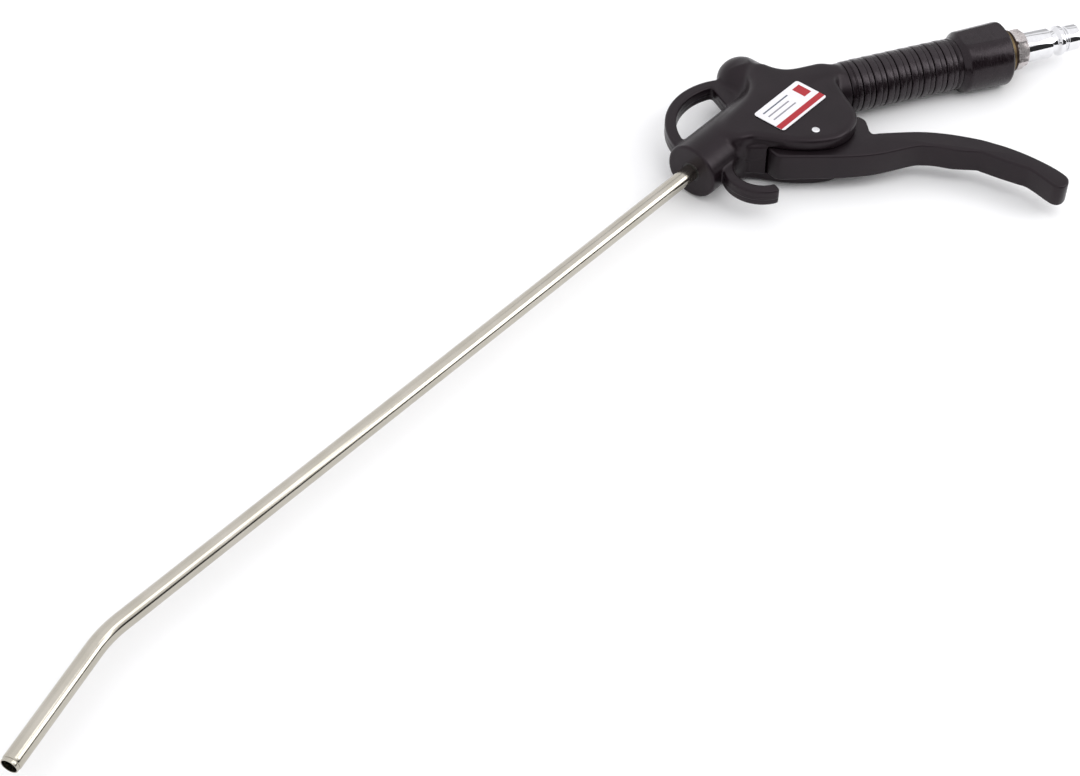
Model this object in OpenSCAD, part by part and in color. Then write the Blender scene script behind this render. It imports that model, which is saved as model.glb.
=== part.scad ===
// Pneumatic air duster lying on its side, millimetres, +Z up.
// +X runs along the nozzle towards the grip, +Y towards the valve dome.
// The origin is on the lower cheek, under the point where the nozzle, valve and grip axes cross.

/* [Body] */
// Outside diameter of the nozzle barrel
barrel_d = 21.6; // [20.6:0.2:22.4]
// Valve axis to the barrel's end face
barrel_len = 54.2; // [53:0.2:60]
// Outside diameter of the valve dome
dome_d = 19.2; // [18.4:0.2:21]
// Nozzle axis to the tip of the dome
dome_h = 28.4; // [28:0.2:32]
// Diameter of the neck behind the valve
neck_d = 19.7; // [19:0.1:20.4]
// Angle between the nozzle and the grip, degrees
grip_angle = 29.8; // [27:0.2:33]
// Rounding of the cheeks' edges
edge_r = 4; // [2:0.5:5]
// Radius of the lobe round the lever pin, which sizes the cheeks' outline
lobe_r = 18; // [17.8:0.2:19]
// Height of the flat part of the cheek's lobe centre below the nozzle axis
lobe_drop = 19; // [18.6:0.2:20]

/* [Hanging loop and hook] */
// Thickness of the hanging loop
loop_t = 6.2; // [4:0.2:8]
// Outer radius of the hanging loop
loop_r = 26.6; // [26:0.2:28]
// Width of the hanging loop's bow
loop_w = 4.4; // [3.5:0.1:5.5]
// Thickness of the hook
hook_t = 6.6; // [4:0.2:8]
// Inner radius of the hook
hook_r = 10.2; // [9.4:0.2:10.6]
// Width of the hook's arm
hook_w = 4.2; // [3:0.1:4.6]

/* [Lever] */
// Lever pin to the tip of the lever's tail, along the grip
lever_reach = 80.5; // [74:0.2:84]
// Fall of the lever's tail below the pin, square to the grip
lever_drop = 51.7; // [48:0.3:54]
// Thickness of the lever at its pin
lever_t = 11.4; // [10:0.2:12]
// Thickness of the lever at the tip of its tail
lever_tail_t = 9.2; // [8:0.2:11]
// Rounding of the lever's edges
lever_edge_r = 1; // [0.5:0.1:1.5]
// Diameter of the lever pin
pin_d = 3; // [2.5:0.1:3.4]
// Valve axis to the lever pin, along the nozzle
pin_back = 15.2; // [15:0.1:15.6]
// Nozzle axis to the lever pin
pin_drop = 27.3; // [27:0.1:27.6]

/* [Nozzle] */
// Outside diameter of the nozzle tube
tube_d = 6.35; // [5.5:0.05:7]
// Wall of the nozzle tube
tube_wall = 0.8; // [0.5:0.1:1.2]
// Barrel face to the bend of the tube
tube_run = 277; // [150:1:400]
// Bend to the open tip of the tube
tip_run = 45.5; // [20:0.5:120]
// Angle of the bend, degrees
bend_angle = 17.3; // [5:0.5:45]
// Radius of the bend at the tube's axis
bend_r = 40; // [25:1:80]
// Diameter of the socket that holds the tube
socket_d = 14; // [12:0.2:15]

/* [Grip] */
// Crossing of the axes to the front end of the rubber sleeve
sleeve_start = 26.3; // [26:0.1:28]
// Crossing of the axes to the rear end of the rubber sleeve
sleeve_end = 94.5; // [90:0.5:110]
// Diameter over the ribs of the sleeve
rib_d = 20.2; // [19.8:0.1:21]
// Depth of the grooves between the ribs
groove_depth = 0.7; // [0.3:0.1:1.2]
// Distance from rib to rib
rib_pitch = 5.05; // [4:0.05:7]
// Length of the sleeve's thick end
flare_len = 20.6; // [16:0.2:22]
// Diameter of the sleeve's thick end
flare_d = 25.2; // [24.4:0.2:27]

/* [Air plug] */
// Width across the flats of the plug's hexagon
hex_af = 14; // [14:1:17]
// Length of the hexagon
hex_len = 5.3; // [4:0.1:8]
// Diameter of the plug's shank
shank_d = 12; // [11.5:0.1:12.5]
// Length of the plug's shank
shank_len = 11.1; // [9:0.1:14]
// Diameter of the plug's nose
nose_d = 10.4; // [10:0.1:11]
// Length of the plug's nose
nose_len = 5.4; // [4.5:0.1:7]
// Bore of the plug
plug_bore_d = 6.4; // [5:0.1:7.2]

/* [Valve] */
// Diameter of the valve stem
stem_d = 3; // [2.5:0.1:3.2]
// Diameter of the valve cage
cage_d = 11.6; // [11:0.1:11.8]
// Diameter of the spring chamber in the dome
chamber_d = 10.4; // [10:0.1:11]
// Diameter of the valve's seat opening
seat_d = 5.6; // [4.6:0.1:5.8]
// Curls of the valve spring
spring_turns = 7; // [4:1:9]
// Wire diameter of the valve spring
spring_wire_d = 1; // [0.6:0.1:1.2]

/* [Label] */
// Length of the label
label_len = 26.8; // [20:0.2:28]
// Width of the label
label_w = 14.2; // [10:0.2:15]

/* [Hidden] */

$fn = 64;
// Overrun of every cut past the face that it opens
over = 1;
// Gap round a piece that is pressed or screwed into its seat
fit_gap = 0.03;
// Running gap round a shaft that turns or slides
run_gap = 0.05;
// Gap between a moving piece and a face that it only comes close to
free_gap = 0.3;
// Height that each flat cheek stands above the barrel
cheek_proud = 0.5;
body_t = barrel_d + 2 * cheek_proud;
mid_z = body_t / 2;
barrel_r = barrel_d / 2;
dome_r = dome_d / 2;
neck_r = neck_d / 2;
pin = [-pin_back, -pin_drop];
barrel_chamfer = 0.6;

// Outline of the cheeks round the lobe's centre, as shares of the lobe's radius
lobe_back_share = 0.444;
lobe_centre = [-lobe_back_share * lobe_r, -lobe_drop];
cheek_shares = [
    [0.74, 1.52], [0.72, 1.69], [0.62, 1.83], [0.4, 1.91], [0.16, 1.83],
    [-0.14, 1.56], [-0.61, 1.31], [-1.17, 1.23], [-1.52, 1.16], [-1.71, 0.97],
    [-1.73, 0.72], [-1.61, 0.52], [-1.41, 0.38], [-1.24, 0.11], [-1.07, -0.2],
    [-0.86, -0.49], [-0.61, -0.75], [-0.33, -0.94], [0, -1.01], [0.33, -0.95],
    [0.56, -0.84], [0.73, -0.66], [0.87, -0.42], [1.17, 0.1], [1.37, 0.31],
    [1.49, 0.49], [1.53, 0.67], [1.45, 0.83], [1.22, 0.99], [0.97, 1.16],
    [0.8, 1.34]
];
cheek_steps = 4;
edge_rings = 5;

// The throat is the inner corner between the dome and the neck
throat_r = 14;
throat_t = 8;

// The hanging loop is a disc with a D-shaped hole
loop_centre = [-24, 3];
loop_hole_floor = 11.5;
loop_leg_foot = -18;
loop_leg_lean = 23;
loop_root = 5;

// The hook is an arc round its own centre, from its root in the barrel to its tip
hook_centre = [-37.5, -19.7];
hook_root_angle = 122;
hook_tip_angle = 243;
web_t = 13;
web_shares = [[-1.928, -0.333], [-1.928, -0.678], [-1.689, -0.944], [-1.111, -1.056], [-1.111, -0.333]];

// The slot for the lever, and the roof over it
slot_gap = 0.5;
slot_t = lever_t + 2 * slot_gap;
roof_y = -21.5;
roof_front = -8.6;
roof_back = 5;
roof_shares = [[-2.5, -0.722], [-1.889, -0.756], [-1.111, -0.833], [-0.722, -0.944]];
slot_reach_share = 0.75;
slot_reach = slot_reach_share * lever_reach;

// Outline of the lever from its pin, as shares of its reach and its drop
lever_shares = [
    [-0.202, -0.071], [-0.164, -0.102], [-0.08, -0.143], [0.01, -0.188], [0.118, -0.236], [0.248, -0.273],
    [0.427, -0.276], [0.484, -0.299], [0.53, -0.333], [0.6, -0.405], [0.693, -0.47], [0.714, -0.501],
    [0.771, -0.604], [0.831, -0.704], [0.858, -0.748], [0.88, -0.826], [0.902, -0.926], [0.917, -0.975],
    [0.939, -0.999], [0.967, -0.992], [0.992, -0.957], [1, -0.898], [0.97, -0.779], [0.912, -0.631],
    [0.851, -0.509], [0.79, -0.413], [0.729, -0.332], [0.611, -0.214], [0.492, -0.131], [0.331, -0.065],
    [0.292, -0.055], [0.28, -0.042], [0.277, -0.007], [0.286, 0.056], [0.288, 0.11], [0.267, 0.159],
    [0.233, 0.167], [0.198, 0.149], [0.171, 0.129], [0.119, 0.126], [0.05, 0.134], [-0.062, 0.129],
    [-0.139, 0.087], [-0.188, 0.084], [-0.214, 0.06], [-0.221, 0.006]
];
lever_steps = 2;
lever_rings = 3;
lever_slope = (lever_tail_t - lever_t) / 2 / lever_reach;
lever_loop = smooth_loop([for (s = lever_shares) [s[0] * lever_reach, s[1] * lever_drop]], lever_steps);
nose_share = 0.15;
nose_r = max([for (p = lever_loop) if (p[0] < -nose_share * lever_reach) norm(p)]);
slot_nose_r = nose_r + slot_gap;

// The stem ends just short of the lever's pad, the lever's upper edge on the valve axis
lever_edge_x = [for (p = lever_loop) pin[0] + p[0] * cos(grip_angle) + p[1] * sin(grip_angle)];
lever_edge_y = [for (p = lever_loop) pin[1] - p[0] * sin(grip_angle) + p[1] * cos(grip_angle)];
pad_y = max([
    for (i = [0:len(lever_loop) - 1])
        let (j = (i + 1) % len(lever_loop), xa = lever_edge_x[i], xb = lever_edge_x[j])
        if (xa * xb <= 0 && xa != xb)
            lever_edge_y[i] + (lever_edge_y[j] - lever_edge_y[i]) * xa / (xa - xb)
]);

// Heights along the valve axis, from the nozzle axis
seat_y = 3;
cage_low = -14;
gland_sunk = 0.2;
gland_low = roof_y + gland_sunk;
stem_end_gap = 0.15;
dome_crown = 4.9;
chamber_top = dome_h - dome_crown;
poppet_seal_t = 1.55;
poppet_head_t = 2.4;
poppet_spigot_len = 3;
poppet_d = 9.2;
spigot_gap = 1;
stem_into_poppet = 1.6;
passage_y = -3.2;
passage_d = 4.8;
port_d = 3.2;
annulus_w = 5.2;
cage_wall = 2.6;
cage_floor = -9.5;
oring_d = 1.3;
groove_w = 1.6;
upper_ring_y = 1.2;
lower_ring_y = -8.2;
stem_pocket_d = stem_d + 2 * (free_gap + oring_d + run_gap);
stem_pocket_top = -11.8;
washer_t = 0.6;
gland_side_gap = 0.1;
gland_d = slot_t - 2 * gland_side_gap;
spanner_hole_d = 2;
spanner_hole_r = 4;
spanner_hole_depth = 2.5;
feed_d = 3.8;
feed_from = [22.6, -12.9];
feed_to = [4.4, 10.5];

// Lengths along the nozzle
socket_len = 15.7;
tube_in_socket = 13.2;
socket_seat_len = 17.2;
nozzle_ring_r = 6.1;
// The bent length is drawn a little slimmer than the straight ones, which lap over its ends
bend_slim = 0.02;
bend_lap = 0.5;

// Lengths along the grip, from the crossing of the axes
core_d = 14.6;
collar_d = 19.2;
collar_start = 76;
core_bore_d = 9;
bush_d = 16;
bush_len = 14.6;
bush_flange_d = 17.8;
flange_t = 2.2;
thread_d = 13.16;
thread_len = 10;
plug_washer_t = 1.4;
plug_washer_d = 16.4;
groove_share = 0.26;
first_groove = 30.95;
groove_count = floor((sleeve_end - flare_len - first_groove) / rib_pitch) + 1;
flare_taper = 0.5;
flare_round = 1.5;
shoulder_len = 1.8;
ridge_neck_len = 2.8;
ridge_neck_d = 9;
ridge_len = 3.6;
ridge_round = 1.2;
nose_neck_len = 0.8;
nose_neck_d = 8.6;
nose_round = 0.5;
hex_chamfer = 0.5;
hex_r = hex_af / 2 / cos(30);
// Angle that keeps the seam of the hexagon's chamfer off its corners.
hex_seam = 15;

label_centre = [-10.6, -12];
label_t = 0.25;
label_r = 1.2;
pin_recess = 0.2;

flange_at = sleeve_end;
plug_washer_at = flange_at + flange_t;
hex_at = plug_washer_at + plug_washer_t;
shank_at = hex_at + hex_len;
ridge_neck_at = shank_at + shank_len;
ridge_at = ridge_neck_at + ridge_neck_len;
nose_neck_at = ridge_at + ridge_len;
nose_at = nose_neck_at + nose_neck_len;
nose_end = nose_at + nose_len;

// Point on the smooth curve between b and c, with a and d as their neighbours
function curve_point(a, b, c, d, t) =
    (2 * b + (c - a) * t + (2 * a - 5 * b + 4 * c - d) * t * t + (3 * b - a - 3 * c + d) * t * t * t) / 2;

// Closed smooth curve through the points, with so many steps between two of them
function smooth_loop(points, steps) = [
    for (i = [0:len(points) - 1], s = [0:steps - 1])
        curve_point(
            points[(i + len(points) - 1) % len(points)],
            points[i],
            points[(i + 1) % len(points)],
            points[(i + 2) % len(points)],
            s / steps)
];

// The loop's points moved inwards, for a loop that runs counterclockwise
function inset_loop(loop, depth) = [
    for (i = [0:len(loop) - 1])
        let (
            count = len(loop),
            along = loop[(i + 1) % count] - loop[(i + count - 1) % count],
            inward = [-along[1], along[0]] / norm(along)
        )
        loop[i] + depth * inward
];

// Triangles between two sides of a long loop, from its first point, with the shorter crossing taken each time
function zipped(loop, i, j) =
    j - i < 2 ? []
    : norm(loop[i + 1] - loop[j]) < norm(loop[i] - loop[j - 1])
        ? concat([[i, i + 1, j]], zipped(loop, i + 1, j))
        : concat([[i, j - 1, j]], zipped(loop, i, j - 1));

// One ring of a slab's surface at an angle round its rounded edge
function slab_ring(loop, half, r, slope, angle, side) = [
    for (p = inset_loop(loop, r * (1 - cos(angle))))
        [p[0], p[1], side * (half + slope * p[0] - r + r * sin(angle))]
];

// Closed slab with rounded edges, its half thickness changing by slope along X
module rounded_slab(loop, half, r, rings, slope = 0) {
    count = len(loop);
    angles = [for (k = [0:rings]) 90 * k / rings];
    stack = concat(
        [for (k = [rings:-1:0]) slab_ring(loop, half, r, slope, angles[k], -1)],
        [for (k = [0:rings]) slab_ring(loop, half, r, slope, angles[k], 1)]);
    levels = len(stack);
    cap = slope == 0 ? [[for (i = [0:count - 1]) i]] : zipped(loop, 0, count - 1);
    polyhedron(
        points = [for (ring = stack, p = ring) p],
        faces = concat(
            cap,
            [for (j = [0:levels - 2], i = [0:count - 1]) [
                j * count + i, (j + 1) * count + i,
                (j + 1) * count + (i + 1) % count]],
            [for (j = [0:levels - 2], i = [0:count - 1]) [
                j * count + i, (j + 1) * count + (i + 1) % count,
                j * count + (i + 1) % count]],
            [for (face = cap) [for (k = [len(face) - 1:-1:0]) (levels - 1) * count + face[k]]]),
        convexity = 6);
}

module mid() {
    translate([0, 0, mid_z]) children();
}

module grip_frame() {
    rotate([0, 0, -grip_angle]) children();
}

module rod_x(r, x0, x1) {
    translate([x0, 0, 0]) rotate([0, 90, 0]) cylinder(r = r, h = x1 - x0);
}

module rod_y(r, y0, y1) {
    translate([0, y0, 0]) rotate([-90, 0, 0]) cylinder(r = r, h = y1 - y0);
}

module rod_z(r, height) {
    cylinder(r = r, h = height, center = true);
}

module ring_y(r, section_d, y) {
    translate([0, y, 0]) rotate([90, 0, 0]) rotate_extrude() translate([r, 0]) circle(d = section_d);
}

module plate(thickness) {
    linear_extrude(height = thickness, center = true) children();
}

module barrel() {
    rod_x(barrel_r, barrel_chamfer - barrel_len, 0);
    translate([-barrel_len, 0, 0]) rotate([0, 90, 0])
        cylinder(r1 = barrel_r - barrel_chamfer, r2 = barrel_r, h = barrel_chamfer);
}

module dome() {
    rod_y(dome_r, 0, dome_h - dome_r);
    translate([0, dome_h - dome_r, 0]) sphere(r = dome_r);
}

module neck_and_core() {
    grip_frame() {
        rod_x(neck_r, 0, sleeve_start);
        rod_x(core_d / 2, sleeve_start - over, collar_start);
        rod_x(collar_d / 2, collar_start, sleeve_end - fit_gap);
    }
}

// The corner between the dome's side and the neck's side, filled to a concave arc
module throat() {
    corner = [dome_r, (neck_r - dome_r * sin(grip_angle)) / cos(grip_angle)];
    half_turn = (90 + grip_angle) / 2;
    side = throat_r / tan(half_turn);
    up = corner + [0, side];
    along = corner + side * [cos(grip_angle), -sin(grip_angle)];
    plate(throat_t) difference() {
        polygon([[0, up[1]], up, along, [0, 0]]);
        translate(up + [throat_r, 0]) circle(r = throat_r);
    }
}

module hanging_loop() {
    plate(loop_t) difference() {
        intersection() {
            translate(loop_centre) circle(r = loop_r);
            translate([loop_centre[0] - loop_r, loop_root]) square(2 * loop_r);
        }
        intersection() {
            translate(loop_centre) circle(r = loop_r - loop_w);
            translate([loop_leg_foot, loop_hole_floor]) rotate([0, 0, -loop_leg_lean])
                translate([-2 * loop_r, -loop_r]) square([2 * loop_r, 3 * loop_r]);
            translate([loop_centre[0] - loop_r, loop_hole_floor]) square(2 * loop_r);
        }
    }
}

module hook() {
    middle_r = hook_r + hook_w / 2;
    plate(hook_t) translate(hook_centre) {
        intersection() {
            difference() {
                circle(r = hook_r + hook_w);
                circle(r = hook_r);
            }
            polygon(concat([[0, 0]], [
                for (a = [hook_root_angle, (hook_root_angle + hook_tip_angle) / 2, hook_tip_angle])
                    2 * (hook_r + hook_w) * [cos(a), sin(a)]
            ]));
        }
        translate(middle_r * [cos(hook_tip_angle), sin(hook_tip_angle)]) circle(d = hook_w);
    }
}

module web() {
    plate(web_t) polygon(lobe_r * web_shares);
}

module lever_slot() {
    low = roof_y - slot_reach;
    plate(slot_t) intersection() {
        polygon(concat(lobe_r * roof_shares, [
            [roof_front, roof_y],
            [roof_back, roof_y],
            [slot_reach, roof_y - (slot_reach - roof_back) * tan(grip_angle)],
            [slot_reach, low],
            [-slot_reach, low]
        ]));
        union() {
            translate(pin) circle(r = slot_nose_r);
            translate([pin[0], low]) square([slot_reach - pin[0], slot_reach]);
        }
    }
}

module valve_bores() {
    rod_y(chamber_d / 2, 0, chamber_top);
    rod_y(cage_d / 2, roof_y - over, seat_y);
    rod_y(gland_d / 2, roof_y - over, cage_low);
}

module feed_passage() {
    run = feed_to - feed_from;
    translate(feed_from) rotate([0, 0, atan2(run[1], run[0])]) rod_x(feed_d / 2, 0, norm(run));
}

module body_casting() {
    color("#3a373a") mid() difference() {
        union() {
            barrel();
            dome();
            neck_and_core();
            throat();
            rounded_slab(smooth_loop([for (s = cheek_shares) lobe_centre + lobe_r * s], cheek_steps),
                body_t / 2, edge_r, edge_rings);
            hanging_loop();
            hook();
            web();
        }
        lever_slot();
        valve_bores();
        feed_passage();
        translate([0, passage_y, 0]) rod_x(passage_d / 2, over - barrel_len, 0);
        rod_x(socket_d / 2, -barrel_len - over, socket_seat_len - barrel_len);
        grip_frame() {
            rod_x(core_bore_d / 2, norm(feed_from) - feed_d / 2, sleeve_end);
            rod_x(bush_d / 2, sleeve_end - bush_len, sleeve_end + over);
        }
        translate(pin) rod_z(pin_d / 2 + fit_gap, body_t + 2 * over);
    }
}

module lever() {
    color("#353235") mid() difference() {
        translate(pin) grip_frame()
            rounded_slab(lever_loop, lever_t / 2, lever_edge_r, lever_rings, lever_slope);
        translate(pin) rod_z(pin_d / 2 + run_gap, body_t);
    }
}

module pivot_pin() {
    color("#d8d8da") mid() translate(pin) rod_z(pin_d / 2, body_t - 2 * pin_recess);
}

module nozzle_socket() {
    start = -barrel_len;
    color("#2f2d2f") mid() difference() {
        rod_x(socket_d / 2 - fit_gap, start, start + socket_len);
        rod_x(tube_d / 2 + fit_gap, start - over, start + tube_in_socket);
        rod_x(tube_d / 2 - tube_wall, start, start + socket_len + over);
    }
}

module tube_path(r, extra) {
    start = -barrel_len - tube_run;
    rod_x(r, start - bend_lap, tube_in_socket - barrel_len + extra);
    translate([start, -bend_r, 0]) rotate([0, 0, 90]) rotate_extrude(angle = bend_angle)
        translate([bend_r, 0]) circle(r = r - bend_slim);
    translate([start, -bend_r, 0]) rotate([0, 0, bend_angle]) translate([0, bend_r, 0])
        rod_x(r, -tip_run - extra, bend_lap);
}

module nozzle_tube() {
    color("#b9b4a6") mid() difference() {
        tube_path(tube_d / 2, 0);
        tube_path(tube_d / 2 - tube_wall, over);
    }
}

module nozzle_oring() {
    gap = socket_seat_len - socket_len;
    color("#1c1c1c") mid() translate([socket_len - barrel_len + gap / 2, 0, 0]) rotate([0, 90, 0])
        rotate_extrude() translate([nozzle_ring_r, 0]) circle(d = gap - fit_gap);
}

module valve_cage() {
    r = cage_d / 2 - fit_gap;
    color("#c9a64e") mid() difference() {
        rod_y(r, cage_low, seat_y);
        rod_y(r - cage_wall, cage_floor, seat_y - cage_wall / 2);
        rod_y(seat_d / 2, cage_floor, seat_y + over);
        rod_y(stem_d / 2 + run_gap, cage_low - over, cage_floor + over);
        rod_y(stem_pocket_d / 2, cage_low - over, stem_pocket_top);
        translate([0, passage_y - annulus_w / 2, 0]) rotate([-90, 0, 0]) difference() {
            cylinder(r = r + over, h = annulus_w);
            translate([0, 0, -over]) cylinder(r = r - cage_wall / 2, h = annulus_w + 2 * over);
        }
        for (turn = [0:90:270])
            translate([0, passage_y, 0]) rotate([0, turn, 0]) rod_x(port_d / 2, 0, r + over);
        for (y = [upper_ring_y, lower_ring_y])
            translate([0, y - groove_w / 2, 0]) rotate([-90, 0, 0]) difference() {
                cylinder(r = r + over, h = groove_w);
                translate([0, 0, -over]) cylinder(r = r - oring_d - fit_gap, h = groove_w + 2 * over);
            }
    }
}

module cage_oring(y) {
    color("#1c1c1c") mid() ring_y(cage_d / 2 - fit_gap - oring_d / 2, oring_d, y);
}

module cage_oring_upper() {
    cage_oring(upper_ring_y);
}

module cage_oring_lower() {
    cage_oring(lower_ring_y);
}

module valve_stem() {
    r = stem_d / 2;
    color("#cfcfd2") mid() {
        rod_y(r, pad_y + stem_end_gap + r, seat_y + poppet_seal_t + stem_into_poppet);
        translate([0, pad_y + stem_end_gap + r, 0]) sphere(r = r);
    }
}

module valve_poppet() {
    start = seat_y + run_gap + poppet_seal_t + fit_gap;
    color("#c9a64e") mid() difference() {
        union() {
            rod_y(poppet_d / 2, start, start + poppet_head_t);
            rod_y(chamber_d / 2 - 2 * spring_wire_d - spigot_gap, start, start + poppet_head_t + poppet_spigot_len);
        }
        rod_y(stem_d / 2 + fit_gap, start - over, seat_y + poppet_seal_t + stem_into_poppet + fit_gap);
    }
}

module poppet_seal() {
    color("#2a2a2a") mid() difference() {
        rod_y(poppet_d / 2, seat_y + run_gap, seat_y + run_gap + poppet_seal_t);
        rod_y(stem_d / 2 + fit_gap, seat_y - over, seat_y + poppet_seal_t + over);
    }
}

module valve_spring() {
    sides = 6;
    rings = 8 * spring_turns + 1;
    wire = spring_wire_d / 2;
    coil = chamber_d / 2 - free_gap - wire;
    low = seat_y + run_gap + poppet_seal_t + fit_gap + poppet_head_t + fit_gap + wire;
    rise = chamber_top - fit_gap - wire - low;
    points = [
        for (j = [0:rings - 1], k = [0:sides - 1])
            let (turn = 360 * spring_turns * j / (rings - 1), a = 360 * k / sides)
            [
                (coil + wire * cos(a)) * cos(turn),
                low + rise * j / (rings - 1) + wire * sin(a),
                (coil + wire * cos(a)) * sin(turn)
            ]
    ];
    echo(least_gap_of_spring_to_itself = rise / spring_turns - spring_wire_d);
    color("#b8bcc2") mid() polyhedron(
        points = points,
        faces = concat(
            [[for (k = [sides - 1:-1:0]) k]],
            [for (j = [0:rings - 2], k = [0:sides - 1]) [
                j * sides + k, j * sides + (k + 1) % sides, (j + 1) * sides + (k + 1) % sides]],
            [for (j = [0:rings - 2], k = [0:sides - 1]) [
                j * sides + k, (j + 1) * sides + (k + 1) % sides, (j + 1) * sides + k]],
            [[for (k = [0:sides - 1]) (rings - 1) * sides + k]]),
        convexity = 10);
}

module stem_oring() {
    r = stem_d / 2 + free_gap + oring_d / 2;
    color("#1c1c1c") mid() ring_y(r, oring_d, stem_pocket_top - oring_d / 2 - fit_gap);
}

module stem_washer() {
    color("#e8e6df") mid() difference() {
        rod_y(stem_pocket_d / 2 - fit_gap, cage_low, cage_low + washer_t);
        rod_y(stem_d / 2 + free_gap, cage_low - over, cage_low + washer_t + over);
    }
}

module gland_nut() {
    color("#c9a64e") mid() difference() {
        rod_y(gland_d / 2 - fit_gap, gland_low, cage_low - fit_gap);
        rod_y(stem_d / 2 + run_gap, gland_low - over, cage_low + over);
        for (side = [-1, 1])
            translate([0, 0, side * spanner_hole_r])
                rod_y(spanner_hole_d / 2, gland_low - over, gland_low + spanner_hole_depth);
    }
}

// Outline of the sleeve from its axis outwards, along the grip
function sleeve_profile() = let (
    crest = rib_d / 2,
    valley = crest - groove_depth,
    half_groove = groove_share * rib_pitch / 2,
    flare_at = sleeve_end - flare_len,
    flare = flare_d / 2
) concat(
    [[sleeve_start, core_d / 2 + fit_gap], [sleeve_start, valley]],
    [[sleeve_start + groove_depth, crest]],
    [for (k = [0:groove_count - 1], step = [-1:1]) [
        first_groove + k * rib_pitch + step * half_groove,
        step == 0 ? valley : crest
    ]],
    [[flare_at, crest], [flare_at + shoulder_len, flare - flare_taper]],
    [for (a = [0:30:90]) [
        sleeve_end - flare_round + flare_round * sin(a),
        flare - flare_round + flare_round * cos(a)
    ]],
    [[sleeve_end, collar_d / 2 + fit_gap], [collar_start - fit_gap, collar_d / 2 + fit_gap]],
    [[collar_start - fit_gap, core_d / 2 + fit_gap]]
);

module grip_sleeve() {
    color("#262426") mid() grip_frame() intersection() {
        rotate([90, 0, 90]) rotate_extrude() polygon([for (p = sleeve_profile()) [p[1], p[0]]]);
        translate([sleeve_start - over, -flare_d, -body_t / 2]) cube([sleeve_end, 2 * flare_d, body_t]);
    }
}

module inlet_bush() {
    color("#c9a64e") mid() grip_frame() difference() {
        union() {
            rod_x(bush_d / 2 - fit_gap, sleeve_end - bush_len + fit_gap, sleeve_end);
            rod_x(bush_flange_d / 2, flange_at, plug_washer_at);
        }
        rod_x(thread_d / 2 + fit_gap, plug_washer_at - thread_len - over, plug_washer_at + over);
        rod_x(core_bore_d / 2, sleeve_end - bush_len - over, plug_washer_at);
    }
}

module plug_washer() {
    color("#b98a3c") mid() grip_frame() difference() {
        rod_x(plug_washer_d / 2, plug_washer_at + fit_gap, hex_at - fit_gap);
        rod_x(thread_d / 2 + fit_gap, plug_washer_at - over, hex_at + over);
    }
}

module turned_x(profile) {
    rotate([90, 0, 90]) rotate_extrude() polygon([for (p = profile) [p[1], p[0]]]);
}

module air_plug() {
    shank = shank_d / 2;
    nose = nose_d / 2;
    color("#c8c8cc") mid() grip_frame() difference() {
        union() {
            rod_x(thread_d / 2, plug_washer_at - thread_len, hex_at + over);
            intersection() {
                translate([hex_at, 0, 0]) rotate([30, 0, 0]) rotate([0, 90, 0])
                    cylinder(r = hex_r, h = hex_len, $fn = 6);
                rotate([hex_seam, 0, 0]) turned_x([
                    [hex_at, 0], [hex_at, hex_r - hex_chamfer],
                    [hex_at + 2 * hex_chamfer, hex_r + hex_chamfer],
                    [shank_at - 2 * hex_chamfer, hex_r + hex_chamfer],
                    [shank_at, hex_r - hex_chamfer], [shank_at, 0]
                ]);
            }
            turned_x([
                [hex_at + over, 0], [hex_at + over, shank], [ridge_neck_at - nose_round, shank],
                [ridge_neck_at, shank - nose_round], [ridge_neck_at, ridge_neck_d / 2],
                [ridge_at, ridge_neck_d / 2], [ridge_at + ridge_round, shank],
                [nose_neck_at - ridge_round, shank], [nose_neck_at, nose_neck_d / 2],
                [nose_at, nose_neck_d / 2], [nose_at, nose - nose_round], [nose_at + nose_round, nose],
                [nose_end - nose_round, nose], [nose_end, nose - nose_round], [nose_end, 0]
            ]);
        }
        rod_x(plug_bore_d / 2, plug_washer_at - thread_len - over, nose_end + over);
    }
}

module label_plate() {
    inner = [label_len - 2 * label_r, label_w - 2 * label_r];
    color("#f2f0ee") translate([label_centre[0], label_centre[1], body_t]) linear_extrude(height = label_t) {
        square([label_len, inner[1]], center = true);
        square([inner[0], label_w], center = true);
        for (sx = [-1, 1], sy = [-1, 1])
            translate([sx * inner[0], sy * inner[1]] / 2) circle(r = label_r);
    }
}

body_casting();
lever();
pivot_pin();
nozzle_socket();
nozzle_tube();
nozzle_oring();
valve_cage();
cage_oring_upper();
cage_oring_lower();
valve_stem();
valve_poppet();
poppet_seal();
valve_spring();
stem_oring();
stem_washer();
gland_nut();
grip_sleeve();
inlet_bush();
plug_washer();
air_plug();
label_plate();
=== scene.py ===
import math

import bmesh
import bpy
import numpy as np
from mathutils import Matrix, Vector


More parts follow.
